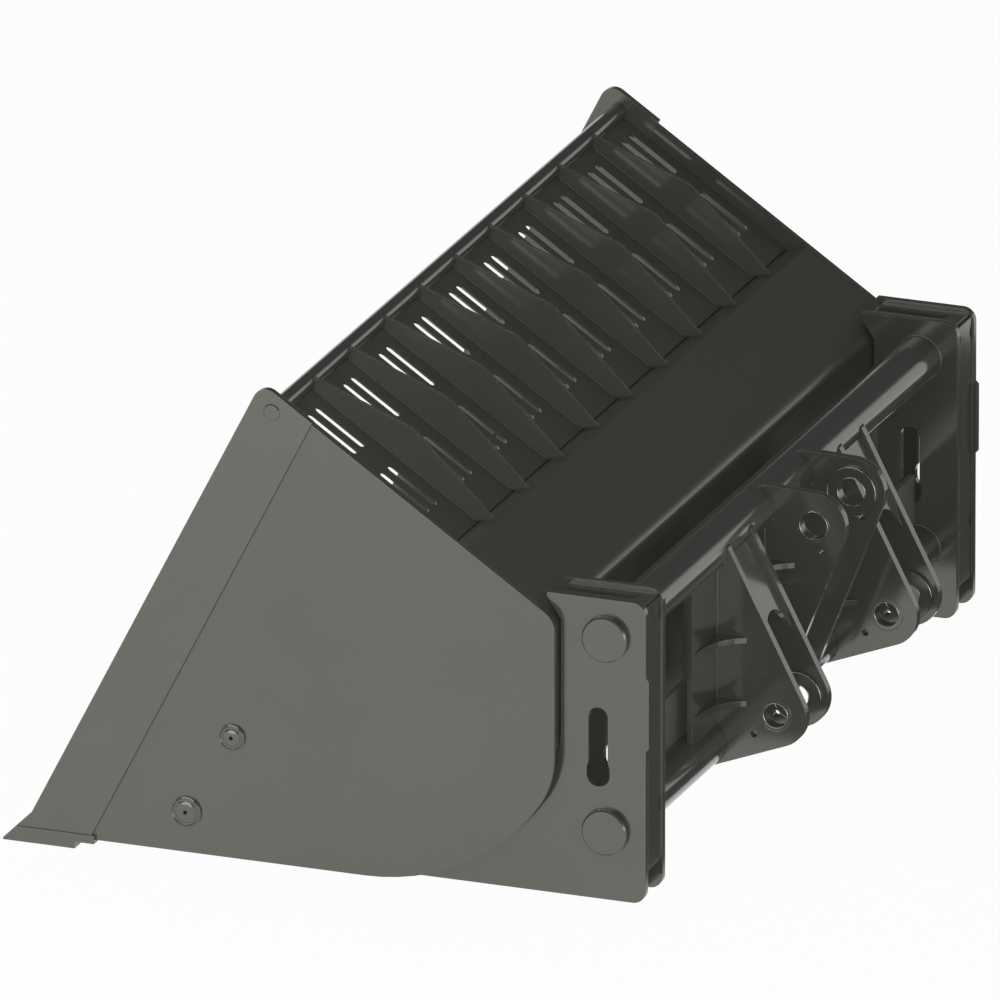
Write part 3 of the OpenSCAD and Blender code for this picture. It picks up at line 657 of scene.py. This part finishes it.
@dataclass
class Guard:
    """The spill guard: slotted plate, curved ribs and the tube along the top."""

    rib_count: int = 9
    rib_pitch: float = 0.273
    rib_thickness: float = 0.008
    rib_foot: Point = (0.372, -0.050)
    rib_length: float = 0.575
    weld: float = 0.004

    def dress(self, shop: Workshop) -> None:
        """Gives the guard's solids their finishes."""
        shop.dress(["spill_guard", "guard_ribs"], GUARD_PAINT)
        shop.dress(["rim_tube"], TUBE_PAINT)

    def build(self, shop: Workshop, bowl: Bowl) -> None:
        """Welds both sides of each rib to the plate.

        Args:
            shop: the workshop.
            bowl: the bowl that the guard stands on.
        """
        mesh = bmesh.new()
        up = Vector((0, -math.cos(bowl.slope), math.sin(bowl.slope)))
        out = Vector((0, math.sin(bowl.slope), math.cos(bowl.slope)))
        for index in range(self.rib_count):
            for side in (1, -1):
                x = ((index - (self.rib_count - 1) / 2) * self.rib_pitch
                     + side * self.rib_thickness / 2)
                low = at(*bowl.rear_corner, x) + self.rib_foot[0] * up + self.rib_foot[1] * out
                add_bead(mesh, [low, low + self.rib_length * up], self.weld)
        shop.piece("guard_welds", mesh, WELD_METAL, Body.BOWL)


@dataclass
class CarrierFrame:
    """The frame: side boxes with their arms, and the two cross tubes."""

    plate_out: float = 1.319
    plate_in: float = 1.165
    plate: float = 0.020
    tube_bead_turn: range = range(0, 360, 9)
    rear_wall: float = 0.112
    rear_span: Point = (0.130, 0.890)
    top: float = 0.910
    top_span: Point = (-0.140, 0.080)
    weld: float = 0.007
    rear_weld: float = 0.0035
    top_weld: float = 0.0042

    def dress(self, shop: Workshop) -> None:
        """Gives the frame's solids their finishes."""
        sides = ("left", "right")
        parts = ("frame_plate_outer", "frame_plate_inner", "arm_floor", "box_rear_wall",
                 "box_front_wall", "box_top_cap")
        shop.dress([f"{part}_{side}" for part in parts for side in sides], PLATE_PAINT)
        shop.dress(["tube_end_caps"], PLATE_PAINT)
        shop.dress(["cross_tube_upper", "cross_tube_lower"], TUBE_PAINT)

    def build(self, shop: Workshop) -> None:
        """Welds the tubes and the box walls to the side plates."""
        mesh = bmesh.new()
        for side in (1, -1):
            for height in TUBE_HEIGHTS:
                add_bead(mesh, arc(at(0, height, side * self.plate_in), TUBE_BEAD_RADIUS,
                                   self.tube_bead_turn), self.weld, closed=True)
            for x in (self.plate_in + self.plate, self.plate_out - self.plate):
                add_bead(mesh, [at(self.rear_wall, z, side * x) for z in self.rear_span],
                         self.rear_weld)
                add_bead(mesh, [at(y, self.top, side * x) for y in self.top_span], self.top_weld)
        shop.piece("frame_welds", mesh, WELD_METAL, Body.FRAME)


@dataclass
class CouplerEars:
    """The hook ears, tilt ears, their bushes, webs, gussets and ribs."""

    hook_faces: tuple[float, ...] = (0.343, 0.368, 0.520, 0.545)
    tilt_faces: tuple[float, ...] = (0.143, 0.168)
    hook_pin: Point = (0.211, 0.342)
    tilt_pin: Point = (0.182, 0.773)
    hook_bore: float = 0.035
    tilt_bore: float = 0.040
    hook_lips: Point = (0.343, 0.545)
    hook_rings: Point = (0.378, 0.510)
    tilt_lips: tuple[float, ...] = (0.168,)
    tilt_rings: tuple[float, ...] = (0.133,)
    ring_radius: float = 0.073
    lip: float = 0.0028
    gusset_corners: tuple[float, ...] = (0.168, 0.343, 0.545)
    gusset_rear: float = 0.037
    gusset_span: Point = (0.302, 0.748)
    tube_bead_turn: range = range(200, 341, 10)
    weld: float = 0.005

    def dress(self, shop: Workshop) -> None:
        """Gives the ears' solids their finishes."""
        sides = ("left", "right")
        parts = ("hook_ear_outer", "hook_ear_inner", "tilt_ear", "hook_web", "ear_gusset")
        shop.dress([f"{part}_{side}" for part in parts for side in sides], PLATE_PAINT)
        shop.dress(["ear_ribs"], PLATE_PAINT)
        shop.dress(["hook_bushes", "tilt_bushes"], PIN_STEEL)
        # The shield plates get a lighter finish: painted light.
        shop.dress([f"shield_plate_{side}" for side in sides], SHIELD_PAINTED_LIGHT)

    def build(self, shop: Workshop) -> None:
        """Welds the ears to the tubes from below and to the gussets, and adds the bush lips."""
        mesh = bmesh.new()
        for side in (1, -1):
            for x in self.hook_faces + self.tilt_faces:
                for height in TUBE_HEIGHTS:
                    add_bead(mesh, arc(at(0, height, side * x), TUBE_BEAD_RADIUS,
                                       self.tube_bead_turn), self.weld)
            for x in self.gusset_corners:
                add_bead(mesh, [at(self.gusset_rear, z, side * x) for z in self.gusset_span],
                         self.weld)
        shop.piece("ear_welds", mesh, WELD_METAL, Body.FRAME)
        self._lips(shop)

    def _lips(self, shop: Workshop) -> None:
        """Turned lips round the bores and the thrust rings."""
        mesh = bmesh.new()
        hook = (self.hook_pin, self.hook_bore, self.hook_lips, self.hook_rings)
        tilt = (self.tilt_pin, self.tilt_bore, self.tilt_lips, self.tilt_rings)
        for pin, bore, lips, rings in (hook, tilt):
            for side in (1, -1):
                for x in lips + rings:
                    add_lip(mesh, at(*pin, side * x), bore + self.lip / 2, self.lip)
                for x in rings:
                    add_lip(mesh, at(*pin, side * x), self.ring_radius - self.lip / 2, self.lip)
        shop.piece("bush_lips", mesh, POLISHED_LIP, Body.FRAME)


@dataclass
class Hinges:
    """The front hinges and the pins of the tipping cylinders."""

    def dress(self, shop: Workshop) -> None:
        """Gives pins, bushes and caps their finishes."""
        shop.dress(["pin_caps"], PLATE_PAINT)
        shop.dress(["hinge_pin_left", "hinge_pin_right", "hinge_collars", "hinge_bushes", "base_pins",
                    "rod_pin_bosses", "rod_pin_left", "rod_pin_right"], PIN_STEEL)


@dataclass
class Cylinders:
    """The two tipping cylinders."""

    sides: tuple[str, ...] = ("left", "right")

    def dress(self, shop: Workshop) -> None:
        """Gives barrels, glands and rods their finishes."""
        shop.dress([f"cylinder_barrel_{side}" for side in self.sides], CYLINDER_PAINT)
        shop.dress([f"{part}_{side}" for part in ("cylinder_gland", "rod_eye") for side in self.sides],
                   CYLINDER_PAINT)
        shop.dress([f"piston_rod_{side}" for side in self.sides], ROD_CHROME)


@dataclass(frozen=True)
class Softbox:
    """A square lamp: where it stands, the point it looks at, its side length and its watts."""

    name: str
    place: tuple[float, float, float]
    aim: tuple[float, float, float]
    size: float
    power: float

    def build(self) -> None:
        """Adds the lamp, which casts no shadow of its own."""
        data = bpy.data.lights.new(self.name, "AREA")
        data.size = self.size
        data.energy = self.power
        data.use_shadow = False
        lamp = bpy.data.objects.new(self.name, data)
        bpy.context.scene.collection.objects.link(lamp)
        place = Vector(self.place)
        lamp.location = place
        lamp.rotation_euler = (place - Vector(self.aim)).to_track_quat("Z", "Y").to_euler()


@dataclass
class Studio:
    """Floor, backdrop, lights and camera.

    Mirrored rays that meet the floor within shades, boxes of X and Y, see it dark. Their soft
    borders are shade_soft wide, and shade_depth is the light that is left. ceiling_from is the
    rise of a mirrored ray at which the white horizon starts to give way to the ceiling.
    """

    lens: float = 1543.0
    sensor: float = 36.0
    clip: Point = (1.0, 1000.0)
    distance: float = 120.0
    target: Vector = field(default_factory=lambda: Vector((0.0434, -0.0644, 0.6827)))
    back: Vector = field(default_factory=lambda: Vector((0.8796, 0.3353, 0.3374)))
    floor_size: float = 120.0
    floor_tone: Colour = (0.8, 0.8, 0.8)
    seen_white: float = 0.97
    room_light: float = 0.36
    ceiling_light: float = 0.06
    ceiling_from: Point = (0.14, 0.28)
    shades: tuple[tuple[Point, Point], ...] = (((-3.5, 1.25), (0.98, 2.3)),
                                               ((-0.62, 0.0), (0.24, 1.05)))
    shade_soft: float = 0.06
    shade_depth: float = 0.06
    lamps: tuple[Softbox, ...] = (
        Softbox("side_lamp", (6.0, -1.5, 2.4), (0.0, 0.0, 0.6), 4.0, 120.0),
        Softbox("rear_lamp", (2.6, 6.5, 1.6), (0.0, 0.4, 0.6), 3.0, 60.0),
    )

    def build(self) -> None:
        """Sets up the whole studio."""
        self._camera()
        self._floor()
        self._world()
        for lamp in self.lamps:
            lamp.build()
        bpy.context.scene.view_settings.view_transform = "Standard"

    def _camera(self) -> None:
        """Long lens from the near side, behind and above."""
        data = bpy.data.cameras.new("view_camera")
        data.lens = self.lens
        data.sensor_width = self.sensor
        data.clip_start, data.clip_end = self.clip
        camera = bpy.data.objects.new("view_camera", data)
        bpy.context.scene.collection.objects.link(camera)
        back = self.back.normalized()
        camera.location = self.target + back * self.distance
        camera.rotation_euler = back.to_track_quat("Z", "Y").to_euler()
        bpy.context.scene.camera = camera

    @staticmethod
    def _seen(nodes: bpy.types.Nodes, links: bpy.types.NodeLinks) -> bpy.types.NodeSocket:
        """Tells camera rays and reflected or refracted ones from the rest.

        Args:
            nodes: the floor material's nodes.
            links: their links.

        Returns:
            A socket that is 1 for those rays.
        """
        path = nodes.new("ShaderNodeLightPath")
        first = nodes.new("ShaderNodeMath")
        second = nodes.new("ShaderNodeMath")
        for node in (first, second):
            node.operation = "MAXIMUM"
        links.new(path.outputs["Is Camera Ray"], first.inputs[0])
        links.new(path.outputs["Is Glossy Ray"], first.inputs[1])
        links.new(first.outputs["Value"], second.inputs[0])
        links.new(path.outputs["Is Transmission Ray"], second.inputs[1])
        return second.outputs["Value"]

    def _shade(self, nodes: bpy.types.Nodes, links: bpy.types.NodeLinks) -> bpy.types.NodeSocket:
        """Dims the floor for mirrored rays in the part's shade.

        Args:
            nodes: the floor material's nodes.
            links: their links.

        Returns:
            A socket that is 1, but low for mirrored rays that meet the floor in a shade.
        """

        def math_node(operation: str, first: bpy.types.NodeSocket,
                      second: bpy.types.NodeSocket | float,
                      third: float = 0.0) -> bpy.types.NodeSocket:
            """Adds one step of arithmetic.

            Args:
                operation: what it does.
                first: socket of its first value.
                second: socket of its second value, or the value.
                third: its third value, where it takes one.

            Returns:
                The socket of its result.
            """
            node = nodes.new("ShaderNodeMath")
            node.operation = operation
            links.new(first, node.inputs[0])
            if isinstance(second, float):
                node.inputs[1].default_value = second
            else:
                links.new(second, node.inputs[1])
            node.inputs[2].default_value = third
            return node.outputs["Value"]

        place = nodes.new("ShaderNodeTexCoord")
        parts = nodes.new("ShaderNodeSeparateXYZ")
        path = nodes.new("ShaderNodeLightPath")
        links.new(place.outputs["Object"], parts.inputs["Vector"])
        pools = []
        for field_x, field_y in self.shades:
            ramps = []
            for axis, edges in (("X", field_x), ("Y", field_y)):
                low, high = edges
                for outer, inner in ((low - self.shade_soft, low), (high + self.shade_soft, high)):
                    ramp = nodes.new("ShaderNodeMapRange")
                    ramp.interpolation_type = "SMOOTHSTEP"
                    ramp.inputs["From Min"].default_value = outer
                    ramp.inputs["From Max"].default_value = inner
                    links.new(parts.outputs[axis], ramp.inputs["Value"])
                    ramps.append(ramp.outputs["Result"])
            pools.append(math_node("MULTIPLY", math_node("MULTIPLY", ramps[0], ramps[1]),
                                   math_node("MULTIPLY", ramps[2], ramps[3])))
        pool = math_node("MAXIMUM", pools[0], pools[1])
        mirrored = math_node("MULTIPLY", pool, path.outputs["Is Glossy Ray"])
        return math_node("MULTIPLY_ADD", mirrored, self.shade_depth - 1.0, 1.0)

    def _floor(self) -> None:
        """Wide pale floor that keeps the part's shadow."""
        mesh = bmesh.new()
        bmesh.ops.create_grid(mesh, x_segments=2, y_segments=2, size=self.floor_size / 2)
        data = bpy.data.meshes.new("studio_floor")
        mesh.to_mesh(data)
        mesh.free()
        floor = bpy.data.objects.new("studio_floor", data)
        bpy.context.scene.collection.objects.link(floor)
        floor.location.z = -UNDER_FLOOR
        made = bpy.data.materials.new("studio_floor_white")
        made.use_nodes = True
        nodes, links = made.node_tree.nodes, made.node_tree.links
        nodes.clear()
        matt = nodes.new("ShaderNodeBsdfDiffuse")
        matt.inputs["Color"].default_value = (*self.floor_tone, 1)
        glow = nodes.new("ShaderNodeEmission")
        share = nodes.new("ShaderNodeMath")
        share.operation = "MULTIPLY"
        share.inputs[1].default_value = self.seen_white
        both = nodes.new("ShaderNodeMixShader")
        out = nodes.new("ShaderNodeOutputMaterial")
        links.new(self._shade(nodes, links), glow.inputs["Strength"])
        links.new(self._seen(nodes, links), share.inputs[0])
        links.new(share.outputs["Value"], both.inputs["Fac"])
        links.new(matt.outputs["BSDF"], both.inputs[1])
        links.new(glow.outputs["Emission"], both.inputs[2])
        links.new(both.outputs["Shader"], out.inputs["Surface"])
        data.materials.append(made)

    def _world(self) -> None:
        """White for the camera; mirrored rays see a white horizon under a dim ceiling."""
        world = bpy.data.worlds.new("studio_world")
        world.use_nodes = True
        nodes, links = world.node_tree.nodes, world.node_tree.links
        nodes.clear()
        path = nodes.new("ShaderNodeLightPath")
        place = nodes.new("ShaderNodeTexCoord")
        parts = nodes.new("ShaderNodeSeparateXYZ")
        ceiling = nodes.new("ShaderNodeMapRange")
        ceiling.interpolation_type = "SMOOTHSTEP"
        for label, value in (("From Min", self.ceiling_from[0]), ("From Max", self.ceiling_from[1]),
                             ("To Min", 1.0), ("To Max", self.ceiling_light)):
            ceiling.inputs[label].default_value = value
        mirrored = nodes.new("ShaderNodeMath")
        mirrored.operation = "MAXIMUM"
        dim, room, white = (nodes.new("ShaderNodeBackground") for _ in range(3))
        dim.inputs["Strength"].default_value = self.room_light
        for shade in (dim, room, white):
            shade.inputs["Color"].default_value = (1, 1, 1, 1)
        inner = nodes.new("ShaderNodeMixShader")
        outer = nodes.new("ShaderNodeMixShader")
        out = nodes.new("ShaderNodeOutputWorld")
        links.new(place.outputs["Generated"], parts.inputs["Vector"])
        links.new(parts.outputs["Z"], ceiling.inputs["Value"])
        links.new(ceiling.outputs["Result"], room.inputs["Strength"])
        links.new(path.outputs["Is Glossy Ray"], mirrored.inputs[0])
        links.new(path.outputs["Is Transmission Ray"], mirrored.inputs[1])
        links.new(mirrored.outputs["Value"], inner.inputs["Fac"])
        links.new(dim.outputs["Background"], inner.inputs[1])
        links.new(room.outputs["Background"], inner.inputs[2])
        links.new(path.outputs["Is Camera Ray"], outer.inputs["Fac"])
        links.new(inner.outputs["Shader"], outer.inputs[1])
        links.new(white.outputs["Background"], outer.inputs[2])
        links.new(outer.outputs["Shader"], out.inputs["Surface"])
        bpy.context.scene.world = world


def main() -> None:
    """Loads the solids, dresses them and adds the small pieces."""
    logging.basicConfig(level=logging.INFO, format="%(name)s: %(message)s")
    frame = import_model()
    Studio().build()
    shop = Workshop(frame, Effects())
    bowl = Bowl()
    bowl.dress(shop)
    bowl.build(shop)
    guard = Guard()
    guard.dress(shop)
    guard.build(shop, bowl)
    for assembly in (CarrierFrame(), CouplerEars()):
        assembly.dress(shop)
        assembly.build(shop)
    for assembly in (Hinges(), Cylinders()):
        assembly.dress(shop)


if __name__ == "__main__":
    main()
